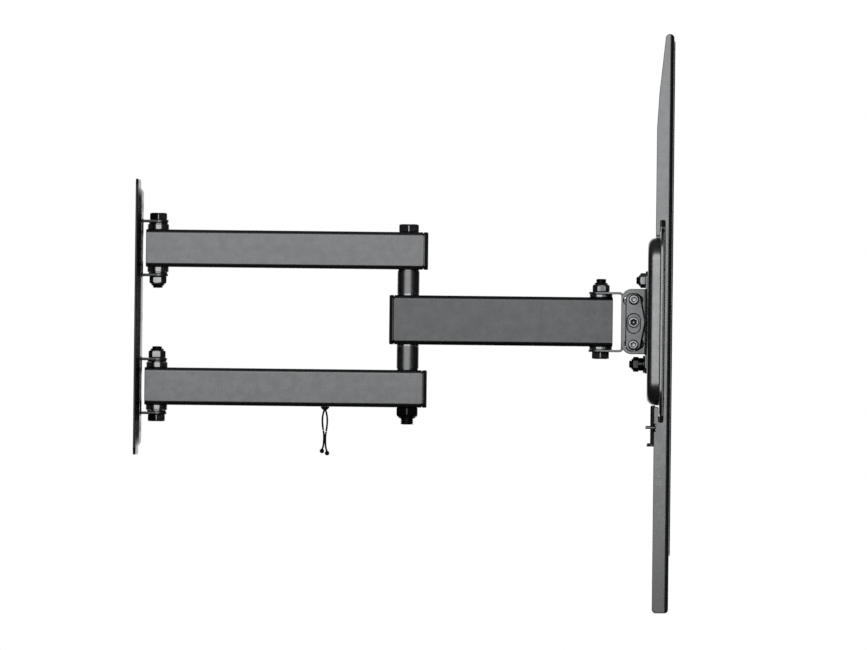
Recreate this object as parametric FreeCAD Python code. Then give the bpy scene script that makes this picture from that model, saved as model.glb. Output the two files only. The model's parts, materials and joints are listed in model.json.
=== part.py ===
import FreeCAD, Part
import math
import os

# Wall mount with a double lower arm, a single forearm and a tilting head.
# Origin: centre of the wall plate, on the wall. +X points from the wall to the screen, +Z up.
# "Left" is the -Y side, "near" pieces of the tilt joint are on that side too.

Vector = FreeCAD.Vector

# Clearances
running_gap = 0.06
fixed_gap = 0.04
sliding_gap = 0.3

# Wall plate: a pressed sheet with its four lugs folded out of two windows
wall_plate_height = 210.0
wall_plate_width = 74.0
wall_sheet = 2.1
wall_rim_rounding = 1.2
wall_panel_rise = 2.4
wall_panel_margin = 3.0
wall_panel_slope = 6.5
wall_plate_corner = 6.0
wall_bend = 1.2
lug_width = 22.0
lug_tip_radius = 8.0
lug_tip_overhang = 7.7
window_relief = 1.2
wall_hole_radius = 3.5
wall_hole_row = 84.0
wall_hole_column = 20.0
stud_slot_length = 11.0

# Arms
arm_height = 52.5
arm_tube_height = 28.6
forearm_tube_height = 37.6
tube_width = 20.0
tube_wall = 1.8
tube_corner = 3.3
wall_pivot_x = 16.7
arm_pivot_overhang = 9.2
arm_length = 190.8
arm_elbow_overhang = 12.5
forearm_elbow_overhang = 12.0
forearm_length = 146.7
forearm_swivel_overhang = 9.1
cap_thickness = 2.2
cap_plug_gap = 0.5
cap_plug_wall = 1.6

# Pivot hardware
pivot_shank = 8.0
pivot_flats = 13.0
pivot_head = 5.3
pivot_nut_height = 6.8
pivot_stub = 2.0
swivel_stub = 3.2
thread_core = 0.84
pivot_washer_radius = 7.3
pivot_washer_thickness = 1.2
bushing_radius = 8.2
bushing_flange = 3.9
bushing_spigot_radius = 6.0
bushing_spigot_length = 5.0
sleeve_wall = 1.5

# Elbow hardware
elbow_shank = 10.0
elbow_flats = 16.0
elbow_head_flats = 15.0
elbow_head = 6.0
elbow_nut_height = 8.2
elbow_stub = 4.8
elbow_bushing_flange = 1.3
elbow_bushing_spigot_radius = 7.2
spacer_radius = 8.4
elbow_washer_thickness = 1.2

# Swivel hardware
swivel_bushing_radius = 8.7
swivel_bushing_flange = 2.3

# Swivel yoke: flanges above and below the forearm, ears on both sides of the tilt joint
yoke_sheet = 1.7
yoke_bend = 1.2
yoke_web_reach = 17.2
yoke_flange_width = 24.0
yoke_flange_overhang = 9.2
yoke_ear_width = 32.0
yoke_ear_height = 42.0
yoke_web_ear_height = 36.0
ear_lens_left = 3.6
ear_lens_end = 3.3
ear_lens_bulge = 7.4
ear_lens_corner = 3.6
ear_lens_curve = 18.0

# Tilt joint
tilt_reach = 25.1
tilt_up = 15.0
tilt_down = 10.0
tilt_screw_radius = 17.2
tilt_screw_shank = 4.0
tilt_screw_head = 8.2
tilt_screw_head_height = 2.2
tilt_socket_radius = 1.9
tilt_socket_depth = 1.4
tilt_screw_nut = 3.0
tilt_screw_flats = 7.0
tilt_slot_width = 6.8
tilt_slot_spare = 2.0
tilt_shank = 5.0
tilt_head_radius = 4.2
tilt_head_height = 2.6
tilt_flats = 8.0
tilt_nut_height = 5.0
friction_washer_thickness = 0.5
friction_washer_radius = 7.0
oval_sheet = 1.7
oval_half_height = 22.2
oval_left = 6.3
oval_bulge = 9.5
oval_end = 5.2
oval_corner = 5.0
oval_curve = 16.0
oval_slot_width = 9.4
oval_slot_height = 14.5
oval_slot_drop = 0.9

# Tilt bracket behind the cross plate, and the levelling bolts through both
bracket_sheet = 1.8
bracket_ear_reach = 9.5
bracket_ear_top = 25.4
bracket_ear_bottom = 24.2
bracket_ear_corner = 8.0
bracket_web_height = 78.0
bracket_web_width = 27.0
bracket_web_corner = 5.0
level_bolt_height = 31.9
level_shank = 6.0
level_flats = 10.0
level_head = 3.0
level_nut_height = 5.2
level_stub = 1.9
level_washer_radius = 6.6
level_washer_thickness = 1.4
level_spacer_thickness = 3.4
level_range = 3.0
level_pivot_radius = 5.0
level_pivot_head_radius = 8.0
level_pivot_head = 1.6

# Cross plate: a shallow pressed tray with a flange all round
cross_sheet = 2.3
cross_reach = 10.5
tray_depth = 11.8
cross_end_margin = 7.0
flange_rim = 7.7
tray_end_rim = 9.0
cross_corner = 20.0
tray_height = 125.8
tray_corner = 17.0
tray_bend = 6.0
tray_window_start = 62.0
tray_window_margin = 14.0
tray_window_inner = 12.0
tray_window_outer = 42.0
tray_window_corner = 8.0

# Rails: channels that carry the screen, threaded onto the cross plate's flanges
rail_spacing = 400.0
rail_slide_travel = 100.0
rail_width = 30.0
rail_sheet = 1.8
rail_bend = 1.8
rail_rib_foot = 43.0
rail_rib_top = 5.0
rail_stand = 6.2
rail_rib = 0.8
rail_rib_width = 14.0
rail_depth = 12.3
rail_above = 215.5
rail_below = 218.8
rail_taper_start = 145.0
rail_taper_middle = 171.0
rail_taper_middle_depth = 10.8
rail_tip_depth = 6.2
rail_corner = 3.0
screen_hole_radius = 4.25
screen_hole_spacing = 400.0
rail_slot_length = 24.0
rail_slot_heights = (118.0, 155.0)
hook_slot_depth = 5.0
hook_slot_inner_depth = 1.2
hook_slot_front = 0.8
hook_clearance = 1.2
hook_tip_radius = 1.2

# Lock screw under each rail's lower hook
lock_offset = 4.9
lock_shank = 4.0
lock_tip_gap = 0.2
lock_length = 29.2
lock_head_radius = 4.4
lock_head_height = 1.6
tongue_drop = 16.0
tongue_sheet = 1.8
tongue_width = 12.0
tongue_overhang = 5.6
tongue_window = 18.0
tongue_notch = 1.4

# Cable clip under the lower arm
clip_offset = 128.3
clip_button_radius = 3.2
clip_button_height = 2.4
clip_stud_radius = 2.0
clip_strand = 1.4
clip_bulge = 1.85
clip_ball_drop = 1.6
clip_length = 33.4
clip_ball = 3.5

# Places along the reach, each from the one before it
lug_reach = wall_pivot_x + lug_tip_overhang
clip_x = wall_pivot_x + clip_offset
elbow_x = wall_pivot_x + arm_length
swivel_x = elbow_x + forearm_length
yoke_web_x = swivel_x + yoke_web_reach
tilt_x = swivel_x + tilt_reach
bracket_reach_x = tilt_x - bracket_ear_reach
cross_back_x = tilt_x + cross_reach
cross_front_x = cross_back_x + tray_depth
rail_front_x = cross_front_x + rail_stand
lock_x = cross_back_x + lock_offset
tongue_reach_x = lock_x - tongue_overhang

# Distances that several pieces share
arm_half = arm_tube_height / 2
forearm_half = forearm_tube_height / 2
lug_gap_half = arm_half + bushing_flange + pivot_washer_thickness + running_gap
panel_front_x = wall_panel_rise + wall_sheet
arm_start_x = wall_pivot_x - arm_pivot_overhang
arm_end_x = elbow_x + arm_elbow_overhang
forearm_start_x = elbow_x - forearm_elbow_overhang
forearm_end_x = swivel_x + forearm_swivel_overhang
yoke_inner_half = forearm_half + swivel_bushing_flange + running_gap
yoke_outer_half = yoke_inner_half + yoke_sheet
ear_outer_y = yoke_ear_width / 2
bracket_ear_y = ear_outer_y + friction_washer_thickness + running_gap
bracket_outer_y = bracket_ear_y + bracket_sheet
oval_inner_y = bracket_outer_y + running_gap
oval_outer_y = oval_inner_y + oval_sheet
bracket_web_x = cross_back_x - bracket_sheet
flange_back_x = cross_front_x - cross_sheet
rail_back_x = rail_front_x - rail_depth
cross_width = rail_spacing + rail_width + 2 * cross_end_margin
cross_height = tray_height + 2 * flange_rim
tray_width = cross_width - 2 * tray_end_rim
tray_window_end = rail_spacing / 2 - tray_window_margin
sleeve_radius = pivot_shank / 2 + fixed_gap + sleeve_wall
elbow_sleeve_radius = elbow_shank / 2 + fixed_gap + sleeve_wall
cap_overhang = min(arm_elbow_overhang, forearm_elbow_overhang)
cap_plug_depth = cap_overhang - elbow_bushing_spigot_radius - cap_plug_gap
tray_foot = -tray_height / 2
tongue_top = tray_foot - tongue_drop


# Point from drawing coordinates: u and v lie in the plane, w along its normal
def spot(plane, u, v, w):
    if plane == "XZ":
        return Vector(u, w, v)
    if plane == "YZ":
        return Vector(w, u, v)
    return Vector(u, v, w)


# Flat face from corners (u, v, radius); a corner with a radius becomes a tangent arc
def face(plane, corners, w):
    count = len(corners)
    tangents = []
    for index in range(count):
        here = spot(plane, corners[index][0], corners[index][1], w)
        before = spot(plane, corners[index - 1][0], corners[index - 1][1], w)
        after = spot(plane, corners[(index + 1) % count][0], corners[(index + 1) % count][1], w)
        tangents.append(rounded_corner(before, here, after, corners[index][2]))
    edges = []
    for index in range(count):
        start = tangents[index - 1][-1]
        end = tangents[index][0]
        if start.distanceToPoint(end) > 1e-6:
            edges.append(Part.LineSegment(start, end).toShape())
        if len(tangents[index]) == 3:
            edges.append(Part.Arc(*tangents[index]).toShape())
    return Part.Face(Part.Wire(edges))


# Start, middle and end of the arc that rounds a corner, or the bare corner
def rounded_corner(before, here, after, radius):
    if radius <= 0:
        return [here]
    back = (before - here).normalize()
    on = (after - here).normalize()
    half = back.getAngle(on) / 2
    run = radius / math.tan(half)
    centre = here + (back + on).normalize() * (radius / math.sin(half))
    middle = centre + (here - centre).normalize() * radius
    return [here + back * run, middle, here + on * run]


def prism(plane, corners, low, high):
    return face(plane, corners, low).extrude(spot(plane, 0, 0, high - low))


def slab(plane, u_low, u_high, v_low, v_high, low, high, radius=0.0):
    corners = [(u_low, v_low, radius), (u_high, v_low, radius)]
    corners += [(u_high, v_high, radius), (u_low, v_high, radius)]
    return prism(plane, corners, low, high)


def rod(plane, u, v, radius, low, high):
    return Part.makeCylinder(radius, abs(high - low), spot(plane, u, v, min(low, high)), spot(plane, 0, 0, 1))


# Turned piece: a closed profile of (radius, height) spun about the axis through (u, v)
def turned(plane, u, v, profile):
    corners = [(spot(plane, u + radius, v, height)) for radius, height in profile]
    outline = Part.Face(Part.makePolygon(corners + corners[:1]))
    return outline.revolve(spot(plane, u, v, 0), spot(plane, 0, 0, 1), 360)


def ring(plane, u, v, outer, inner, low, high):
    return turned(plane, u, v, [(inner, low), (outer, low), (outer, high), (inner, high)])


# Hexagon with chamfered corners at its far end, from the seat outwards
def hexagon(plane, u, v, flats, seat, end):
    corner_radius = flats / math.sqrt(3)
    corners = []
    for index in range(6):
        angle = math.radians(30 + 60 * index)
        corners.append((u + corner_radius * math.cos(angle), v + corner_radius * math.sin(angle), 0))
    blank = prism(plane, corners, min(seat, end), max(seat, end))
    face_radius = flats * 0.47
    chamfer = math.copysign((corner_radius - face_radius) * math.tan(math.radians(30)), end - seat)
    profile = [(0, seat), (corner_radius, seat), (corner_radius, end - chamfer), (face_radius, end), (0, end)]
    return blank.common(turned(plane, u, v, profile))


# Hexagon bolt: the head stands on the seat; past the nut the stub has the thread's core size
def hex_bolt(plane, u, v, shank, flats, head, seat, tip, stub):
    way = math.copysign(1, seat - tip)
    radius = shank / 2
    core = radius * thread_core
    chamfer = radius * 0.12
    profile = [(0, seat), (radius, seat), (radius, tip + way * stub), (core, tip + way * stub)]
    profile += [(core, tip + way * chamfer), (core - chamfer, tip), (0, tip)]
    blank = hexagon(plane, u, v, flats, seat, seat + way * head)
    return blank.fuse(turned(plane, u, v, profile)).removeSplitter()


# Lock nut: a hexagon with a round collar that holds the nylon ring
def lock_nut(plane, u, v, shank, flats, seat, end):
    bore = shank / 2 + fixed_gap
    collar = flats * 0.43
    hex_end = seat + (end - seat) * 0.82
    rounding = (end - seat) * 0.12
    profile = [(bore, hex_end), (collar, hex_end), (collar, end - rounding)]
    profile += [(collar - abs(rounding), end), (bore, end)]
    body = hexagon(plane, u, v, flats, seat, hex_end).cut(rod(plane, u, v, bore, seat, hex_end))
    return body.fuse(turned(plane, u, v, profile)).removeSplitter()


# Flanged plain bushing: the flange lies on the seat, the spigot goes down the hole
def flanged_bushing(x, seat, way, flange_radius, flange, spigot_radius, bore):
    top = seat + way * flange
    foot = seat - way * bushing_spigot_length
    profile = [(bore, foot), (spigot_radius, foot), (spigot_radius, seat)]
    profile += [(flange_radius, seat), (flange_radius, top), (bore, top)]
    return turned("XY", x, 0, profile)


def rectangular_tube(x_low, x_high, height, z):
    half = tube_width / 2
    inner = half - tube_wall
    inner_height = height / 2 - tube_wall
    outside = slab("YZ", -half, half, z - height / 2, z + height / 2, x_low, x_high, tube_corner)
    inner_corner = tube_corner - tube_wall
    inside = slab("YZ", -inner, inner, z - inner_height, z + inner_height, x_low, x_high, inner_corner)
    return outside.cut(inside)


# Moulded cap: a plate over the tube's end with a hollow plug inside the tube
def end_cap(x_end, way, height, z):
    half = tube_width / 2
    plug_half = half - tube_wall - fixed_gap
    plug_height = height / 2 - tube_wall - fixed_gap
    x_face = x_end + way * cap_thickness
    x_plug = x_end - way * cap_plug_depth
    plate = slab("YZ", -half, half, z - height / 2, z + height / 2, x_end, x_face, tube_corner)
    rims = [edge for edge in plate.Edges if abs(edge.CenterOfMass.x - x_face) < 1e-6]
    plate = plate.makeFillet(cap_thickness * 0.4, rims)
    plug_corner = tube_corner - tube_wall + sliding_gap
    plug = slab("YZ", -plug_half, plug_half, z - plug_height, z + plug_height, x_plug, x_end, plug_corner)
    hollow_half = plug_half - cap_plug_wall
    hollow_height = plug_height - cap_plug_wall
    hollow = slab("YZ", -hollow_half, hollow_half, z - hollow_height, z + hollow_height, x_plug, x_end)
    return plate.fuse(plug.cut(hollow)).removeSplitter()


def mirrored(shape, normal):
    return shape.mirror(Vector(0, 0, 0), normal)


def pair(shape, normal):
    return Part.makeCompound([shape, mirrored(shape, normal)])


# Frustum under the wall plate's raised panel, standing off the wall by the given distance
def panel_block(offset):
    base_half_width = wall_plate_width / 2 - wall_panel_margin
    base_half_height = wall_plate_height / 2 - wall_panel_margin
    top_half_width = base_half_width - wall_panel_slope
    top_half_height = base_half_height - wall_panel_slope
    base = [(-base_half_width, -base_half_height), (base_half_width, -base_half_height)]
    base += [(base_half_width, base_half_height), (-base_half_width, base_half_height)]
    top = [(-top_half_width, -top_half_height), (top_half_width, -top_half_height)]
    top += [(top_half_width, top_half_height), (-top_half_width, top_half_height)]
    wires = []
    for points, x in ((base, offset), (top, offset + panel_front_x)):
        wires.append(face("YZ", [(y, z, wall_panel_slope) for y, z in points], x).OuterWire)
    return Part.makeLoft(wires, True, True)


# One lug: a strip of the panel that turns out of the wall plate round a bend
def wall_lug(centre, way):
    inner = centre + way * lug_gap_half
    outer = inner + way * wall_sheet
    root = outer + way * (wall_bend + wall_sheet)
    corners = [(wall_panel_rise, root, 0), (wall_panel_rise, inner, wall_bend + wall_sheet)]
    corners += [(lug_reach, inner, 0), (lug_reach, outer, 0)]
    corners += [(panel_front_x, outer, wall_bend), (panel_front_x, root, 0)]
    half = lug_width / 2
    strip = prism("XZ", corners, -half, half)
    plan = [(0, -half, 0), (lug_reach, -half, lug_tip_radius)]
    plan += [(lug_reach, half, lug_tip_radius), (0, half, 0)]
    lug = strip.common(prism("XY", plan, min(inner, root), max(inner, root)))
    return lug.cut(rod("XY", wall_pivot_x, 0, pivot_shank / 2 + fixed_gap, inner, outer))


def wall_plate():
    half_width = wall_plate_width / 2
    half_height = wall_plate_height / 2
    plate = slab("YZ", -half_width, half_width, -half_height, half_height, 0, wall_sheet, wall_plate_corner)
    plate = plate.makeFillet(wall_rim_rounding, edges_at(plate, wall_sheet))
    plate = plate.fuse(panel_block(0)).cut(panel_block(-wall_sheet))
    window_half = lug_width / 2 + window_relief
    window_height = lug_gap_half + wall_sheet + wall_bend
    for centre in (-arm_height, arm_height):
        low = centre - window_height
        high = centre + window_height
        plate = plate.cut(slab("YZ", -window_half, window_half, low, high, 0, lug_reach, 2.0))
        plate = plate.fuse([wall_lug(centre, -1), wall_lug(centre, 1)])
    for height in (-wall_hole_row, 0, wall_hole_row):
        for side in (-wall_hole_column, wall_hole_column):
            plate = plate.cut(rod("YZ", side, height, wall_hole_radius, 0, panel_front_x))
    for height in (-wall_hole_row, wall_hole_row):
        low = height - stud_slot_length / 2
        slot = slab("YZ", -wall_hole_radius, wall_hole_radius, low, low + stud_slot_length, 0, panel_front_x,
                    wall_hole_radius)
        plate = plate.cut(slot)
    return plate.removeSplitter()


# Upper pivot bolt, head up; the lower one is its mirror image
def upper_pivot_bolt():
    seat = arm_height + lug_gap_half + wall_sheet
    tip = arm_height - lug_gap_half - wall_sheet - pivot_nut_height - pivot_stub
    return hex_bolt("XY", wall_pivot_x, 0, pivot_shank, pivot_flats, pivot_head, seat, tip, pivot_stub)


def upper_pivot_nut():
    seat = arm_height - lug_gap_half - wall_sheet
    return lock_nut("XY", wall_pivot_x, 0, pivot_shank, pivot_flats, seat, seat - pivot_nut_height)


def pivot_washers():
    bore = pivot_shank / 2 + fixed_gap
    washers = []
    for centre in (arm_height, -arm_height):
        for way in (-1, 1):
            top = centre + way * lug_gap_half
            low = top - way * pivot_washer_thickness
            washers.append(ring("XY", wall_pivot_x, 0, pivot_washer_radius, bore, low, top))
    return Part.makeCompound(washers)


def upper_arm():
    tube = rectangular_tube(arm_start_x, arm_end_x, arm_tube_height, arm_height)
    low = arm_height - arm_half
    high = arm_height + arm_half
    tube = tube.cut(rod("XY", wall_pivot_x, 0, bushing_spigot_radius + fixed_gap, low, high))
    return tube.cut(rod("XY", elbow_x, 0, elbow_shank / 2 + fixed_gap, low, high))


def lower_arm():
    foot = -arm_height - arm_half
    stud_hole = rod("XY", clip_x, 0, clip_stud_radius + fixed_gap, foot, foot + tube_wall)
    return mirrored(upper_arm(), Vector(0, 0, 1)).cut(stud_hole)


def upper_arm_bushings():
    bore = pivot_shank / 2 + running_gap
    bushings = []
    for way in (-1, 1):
        seat = arm_height + way * arm_half
        bushing = flanged_bushing(wall_pivot_x, seat, way, bushing_radius, bushing_flange,
                                  bushing_spigot_radius, bore)
        bushings.append(bushing)
    return Part.makeCompound(bushings)


def arm_pivot_sleeve():
    half = arm_half - bushing_spigot_length
    bore = pivot_shank / 2 + running_gap
    return ring("XY", wall_pivot_x, 0, sleeve_radius, bore, arm_height - half, arm_height + half)


def arm_elbow_sleeve():
    half = arm_half - tube_wall
    bore = elbow_shank / 2 + fixed_gap
    return ring("XY", elbow_x, 0, elbow_sleeve_radius, bore, arm_height - half, arm_height + half)


def elbow_bolt():
    seat = arm_height + arm_half
    tip = -arm_height - arm_half - elbow_nut_height - elbow_stub
    return hex_bolt("XY", elbow_x, 0, elbow_shank, elbow_head_flats, elbow_head, seat, tip, elbow_stub)


def elbow_nut():
    seat = -arm_height - arm_half
    return lock_nut("XY", elbow_x, 0, elbow_shank, elbow_flats, seat, seat - elbow_nut_height)


# Thin washer between each arm and its spacer
def elbow_washer():
    top = arm_height - arm_half
    bore = elbow_shank / 2 + fixed_gap
    return ring("XY", elbow_x, 0, spacer_radius - 0.4, bore, top - elbow_washer_thickness, top)


def elbow_spacer():
    top = arm_height - arm_half - elbow_washer_thickness
    foot = forearm_half + elbow_bushing_flange + running_gap
    return ring("XY", elbow_x, 0, spacer_radius, elbow_shank / 2 + fixed_gap, foot, top)


def forearm():
    tube = rectangular_tube(forearm_start_x, forearm_end_x, forearm_tube_height, 0)
    elbow_hole = rod("XY", elbow_x, 0, elbow_bushing_spigot_radius + fixed_gap, -forearm_half, forearm_half)
    swivel_hole = rod("XY", swivel_x, 0, bushing_spigot_radius + fixed_gap, -forearm_half, forearm_half)
    return tube.cut(elbow_hole).cut(swivel_hole)


def forearm_elbow_bushings():
    bore = elbow_shank / 2 + running_gap
    bushing = flanged_bushing(elbow_x, forearm_half, 1, spacer_radius, elbow_bushing_flange,
                              elbow_bushing_spigot_radius, bore)
    return pair(bushing, Vector(0, 0, 1))


def forearm_elbow_sleeve():
    half = forearm_half - bushing_spigot_length
    bore = elbow_shank / 2 + running_gap
    return ring("XY", elbow_x, 0, elbow_sleeve_radius, bore, -half, half)


def forearm_swivel_bushings():
    bore = pivot_shank / 2 + running_gap
    bushing = flanged_bushing(swivel_x, forearm_half, 1, swivel_bushing_radius, swivel_bushing_flange,
                              bushing_spigot_radius, bore)
    return pair(bushing, Vector(0, 0, 1))


def forearm_swivel_sleeve():
    half = forearm_half - bushing_spigot_length
    bore = pivot_shank / 2 + running_gap
    return ring("XY", swivel_x, 0, sleeve_radius, bore, -half, half)


# Strand of the cable clip: straight runs joined by tangent arcs, with a round section
def clip_strand_body(side, foot):
    length = clip_length - clip_button_height + (clip_ball_drop if side > 0 else 0)
    touch = clip_strand * 0.45
    spread = clip_ball * 0.56
    route = [(0.1, 0), (clip_bulge * 0.72, 0.12), (clip_bulge, 0.31), (clip_bulge * 0.66, 0.5)]
    route += [(touch, 0.64), (touch, 0.78), (touch * 1.3, 0.87), (spread, 1.0)]
    points = [Vector(clip_x + side * across, 0, foot - along * length) for across, along in route]
    curve = Part.BSplineCurve()
    curve.interpolate(points)
    section = Part.Circle(points[0], curve.tangent(curve.FirstParameter)[0], clip_strand / 2).toShape()
    strand = Part.Wire([curve.toShape()]).makePipeShell([Part.Wire([section])], True, True)
    return strand.fuse(Part.makeSphere(clip_ball / 2, points[-1] - Vector(0, 0, clip_ball * 0.3)))


# Moulded cable clip: stud in the arm, domed button, two springy strands that end in balls
def cable_clip():
    seat = -arm_height - arm_half
    foot = seat - clip_button_height
    profile = [(0, seat + tube_wall), (clip_stud_radius, seat + tube_wall), (clip_stud_radius, seat)]
    profile += [(clip_button_radius, seat), (clip_button_radius, seat - clip_button_height * 0.35)]
    profile += [(clip_button_radius * 0.55, foot), (0, foot)]
    button = turned("XY", clip_x, 0, profile)
    overlap = clip_strand / 2
    strands = [clip_strand_body(-1, foot + overlap), clip_strand_body(1, foot + overlap)]
    return button.fuse(strands).removeSplitter()


# Lens outline of the tilt joint's plates, about the pivot: straight on the forearm side,
# bulging towards the cross plate, drawn in round the two screws
def lens_corners(left, half_height, end_right, bulge, end_radius, bulge_radius):
    corners = [(tilt_x - left, -half_height, end_radius), (tilt_x - left, half_height, end_radius)]
    corners += [(tilt_x + end_right, half_height, end_radius), (tilt_x + bulge, 0, bulge_radius)]
    corners += [(tilt_x + end_right, -half_height, end_radius)]
    return corners


def swivel_yoke():
    web_back = yoke_web_x - yoke_sheet
    tip_x = swivel_x - yoke_flange_overhang
    outer_bend = yoke_bend + yoke_sheet
    half = yoke_flange_width / 2
    side_view = [(tip_x, yoke_outer_half, 0), (yoke_web_x, yoke_outer_half, outer_bend)]
    side_view += [(yoke_web_x, -yoke_outer_half, outer_bend), (tip_x, -yoke_outer_half, 0)]
    side_view += [(tip_x, -yoke_inner_half, 0), (web_back, -yoke_inner_half, yoke_bend)]
    side_view += [(web_back, yoke_inner_half, yoke_bend), (tip_x, yoke_inner_half, 0)]
    flanges = prism("XZ", side_view, -half, half)
    tip_radius = half * 0.7
    plan = [(tip_x, -half, tip_radius), (yoke_web_x, -half, 0)]
    plan += [(yoke_web_x, half, 0), (tip_x, half, tip_radius)]
    flanges = flanges.common(prism("XY", plan, -yoke_outer_half, yoke_outer_half))
    inner_y = ear_outer_y - yoke_sheet
    ear_tip = cross_back_x
    top_view = [(web_back, -ear_outer_y, outer_bend), (ear_tip, -ear_outer_y, 0), (ear_tip, -inner_y, 0)]
    top_view += [(yoke_web_x, -inner_y, yoke_bend), (yoke_web_x, inner_y, yoke_bend)]
    top_view += [(ear_tip, inner_y, 0), (ear_tip, ear_outer_y, 0), (web_back, ear_outer_y, outer_bend)]
    ears = prism("XY", top_view, -yoke_ear_height / 2, yoke_ear_height / 2)
    ear_half = yoke_ear_height / 2
    corners = lens_corners(ear_lens_left, ear_half, ear_lens_end, ear_lens_bulge, ear_lens_corner, ear_lens_curve)
    lens = prism("XZ", corners, -ear_outer_y, ear_outer_y)
    root_half = yoke_web_ear_height / 2
    root = slab("XZ", web_back, tilt_x, -root_half, root_half, -ear_outer_y, ear_outer_y)
    yoke = flanges.fuse(ears.common(lens.fuse(root)))
    swivel_hole = rod("XY", swivel_x, 0, pivot_shank / 2 + fixed_gap, -yoke_outer_half, yoke_outer_half)
    tilt_hole = rod("XZ", tilt_x, 0, tilt_shank / 2 + fixed_gap, -ear_outer_y, ear_outer_y)
    yoke = yoke.cut(swivel_hole).cut(tilt_hole)
    for height in (-tilt_screw_radius, tilt_screw_radius):
        screw_hole = rod("XZ", tilt_x, height, tilt_screw_shank / 2 + fixed_gap, -ear_outer_y, ear_outer_y)
        yoke = yoke.cut(screw_hole)
    return yoke.removeSplitter()


def swivel_bolt():
    seat = -yoke_outer_half
    tip = yoke_outer_half + pivot_nut_height + swivel_stub
    return hex_bolt("XY", swivel_x, 0, pivot_shank, pivot_flats, pivot_head, seat, tip, swivel_stub)


def swivel_nut():
    seat = yoke_outer_half
    return lock_nut("XY", swivel_x, 0, pivot_shank, pivot_flats, seat, seat + pivot_nut_height)


# Pin of the tilt joint: a socket head on the near ear, a lock nut beyond the far ear
def tilt_bolt():
    seat = -bracket_outer_y - running_gap
    end = seat - tilt_head_height
    tip = bracket_outer_y + running_gap + tilt_nut_height + 1.0
    radius = tilt_shank / 2
    head = rod("XZ", tilt_x, 0, tilt_head_radius, end, seat)
    socket = rod("XZ", tilt_x, 0, tilt_socket_radius, end, end + tilt_socket_depth)
    return head.fuse(rod("XZ", tilt_x, 0, radius, seat, tip)).cut(socket).removeSplitter()


def tilt_nut():
    seat = bracket_outer_y + running_gap
    return lock_nut("XZ", tilt_x, 0, tilt_shank, tilt_flats, seat, seat + tilt_nut_height)


# Socket screw of the tilt joint, with the shoulder that runs in the bracket's curved slot
def tilt_screw(height):
    seat = -oval_outer_y
    end = seat - tilt_screw_head_height
    tip = -ear_outer_y + yoke_sheet + tilt_screw_nut
    radius = tilt_screw_shank / 2
    shoulder = tilt_slot_width / 2 - 0.3
    profile = [(0, end + tilt_socket_depth), (tilt_socket_radius, end + tilt_socket_depth)]
    profile += [(tilt_socket_radius, end), (tilt_screw_head / 2 - 0.5, end), (tilt_screw_head / 2, end + 0.5)]
    profile += [(tilt_screw_head / 2, seat), (radius, seat), (radius, -oval_inner_y)]
    profile += [(shoulder, -oval_inner_y), (shoulder, -ear_outer_y), (radius, -ear_outer_y)]
    profile += [(radius, tip), (0, tip)]
    return turned("XZ", tilt_x, height, profile)


def tilt_screws():
    screws = []
    for height in (-tilt_screw_radius, tilt_screw_radius):
        screw = tilt_screw(height)
        screws += [screw, mirrored(screw, Vector(0, 1, 0))]
    return Part.makeCompound(screws)


def tilt_screw_nuts():
    seat = -ear_outer_y + yoke_sheet
    end = seat + tilt_screw_nut
    nuts = []
    for height in (-tilt_screw_radius, tilt_screw_radius):
        nut = hexagon("XZ", tilt_x, height, tilt_screw_flats, seat, end)
        nut = nut.cut(rod("XZ", tilt_x, height, tilt_screw_shank / 2 + fixed_gap, seat, end))
        nuts += [nut, mirrored(nut, Vector(0, 1, 0))]
    return Part.makeCompound(nuts)


# Friction washer between each ear of the yoke and the tilt bracket
def friction_washers():
    low = ear_outer_y
    bore = tilt_shank / 2 + fixed_gap
    high = low + friction_washer_thickness
    return pair(ring("XZ", tilt_x, 0, friction_washer_radius, bore, low, high), Vector(0, 1, 0))


def near_clamp_plate():
    corners = lens_corners(oval_left, oval_half_height, oval_end, oval_bulge, oval_corner, oval_curve)
    plate = prism("XZ", corners, -oval_outer_y, -oval_inner_y)
    low = -oval_slot_drop - oval_slot_height / 2
    half = oval_slot_width / 2
    high = low + oval_slot_height
    plate = plate.cut(slab("XZ", tilt_x - half, tilt_x + half, low, high, -oval_outer_y, -oval_inner_y, half))
    for height in (-tilt_screw_radius, tilt_screw_radius):
        hole = rod("XZ", tilt_x, height, tilt_screw_shank / 2 + fixed_gap, -oval_outer_y, -oval_inner_y)
        plate = plate.cut(hole)
    return plate


# Curved slot about the tilt pivot, as long as the tilt range needs
def tilt_slot(side):
    low_angle = 90 - tilt_down - tilt_slot_spare
    high_angle = 90 + tilt_up + 0.6
    half = tilt_slot_width / 2
    inner = tilt_screw_radius - half
    outer = tilt_screw_radius + half
    rims = []
    for radius in (inner, outer):
        points = []
        for angle in (low_angle, 90, high_angle):
            turn = math.radians(angle)
            points.append(Vector(tilt_x + radius * math.cos(turn), -bracket_outer_y, radius * math.sin(turn)))
        rims.append(points)
    edges = [Part.Arc(*rims[0]).toShape(), Part.LineSegment(rims[0][2], rims[1][2]).toShape()]
    edges += [Part.Arc(*rims[1]).toShape(), Part.LineSegment(rims[1][0], rims[0][0]).toShape()]
    slot = Part.Face(Part.Wire(edges)).extrude(Vector(0, 2 * bracket_outer_y, 0))
    for angle in (low_angle, high_angle):
        turn = math.radians(angle)
        x = tilt_x + tilt_screw_radius * math.cos(turn)
        z = tilt_screw_radius * math.sin(turn)
        slot = slot.fuse(rod("XZ", x, z, half, -bracket_outer_y, bracket_outer_y))
    if side < 0:
        return slot.rotate(Vector(tilt_x, 0, 0), Vector(0, 1, 0), 180)
    return slot


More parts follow.
